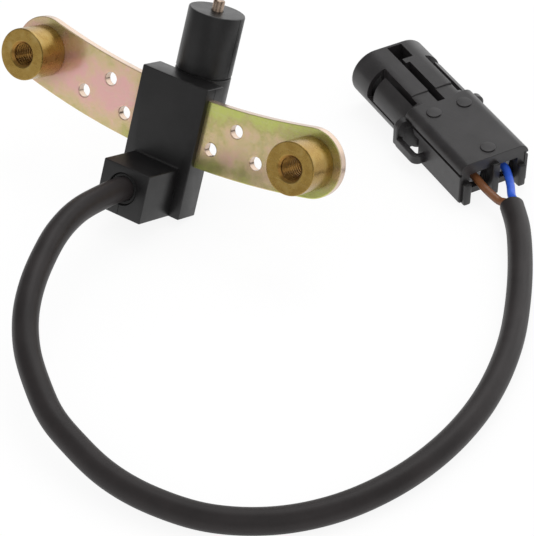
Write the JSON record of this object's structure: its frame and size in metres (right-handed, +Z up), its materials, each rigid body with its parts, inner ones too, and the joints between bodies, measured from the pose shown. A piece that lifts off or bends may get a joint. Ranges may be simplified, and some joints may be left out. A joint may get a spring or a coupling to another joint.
{
  "type": "crankshaft position sensor",
  "caption": "Crankshaft position sensor: moulded pick-up with a round barrel on a curved steel bracket with threaded bushes, and a looped cable to a shrouded connector.",
  "frame": {"origin": "centre of the sensor's bounding box on the floor it leans on, with the cable and connector left out", "axes": "+X along the bracket towards the right-hand bush, +Y the way the sensing head leans, +Z up from the floor"},
  "size_m": [0.17, 0.1931, 0.0517],
  "materials": {
    "strip_zinc": "yellow passivated zinc",
    "bush_brass": "turned",
    "body_plastic": "fine grain",
    "barrel_plastic": "satin",
    "pole_steel": "bright",
    "bobbin_nylon": "moulded",
    "coil_copper": "enamelled wire",
    "magnet_grey": "sintered",
    "lead_tin": "tinned",
    "grommet_rubber": "matte",
    "sheath_black": "satin",
    "wire_brown": "smooth",
    "wire_blue": "smooth",
    "connector_plastic": "satin",
    "lock_plastic": "satin",
    "contact_tin": "tinned",
    "seal_grey": "matte"
  },
  "bodies": {
    "root": {"bracket": "strip_zinc", "left_bush": "bush_brass", "right_bush": "bush_brass", "body": "body_plastic", "barrel": "barrel_plastic", "pole_pin": "pole_steel", "bobbin": "bobbin_nylon", "coil": "coil_copper", "magnet": "magnet_grey", "left_lead": "lead_tin", "right_lead": "lead_tin", "grommet": "grommet_rubber", "cable": "sheath_black", "brown_wire": "wire_brown", "blue_wire": "wire_blue", "connector": "connector_plastic", "rear_lock": "lock_plastic", "brown_contact": "contact_tin", "blue_contact": "contact_tin", "brown_seal": "seal_grey", "blue_seal": "seal_grey"}
  },
  "joints": []
}
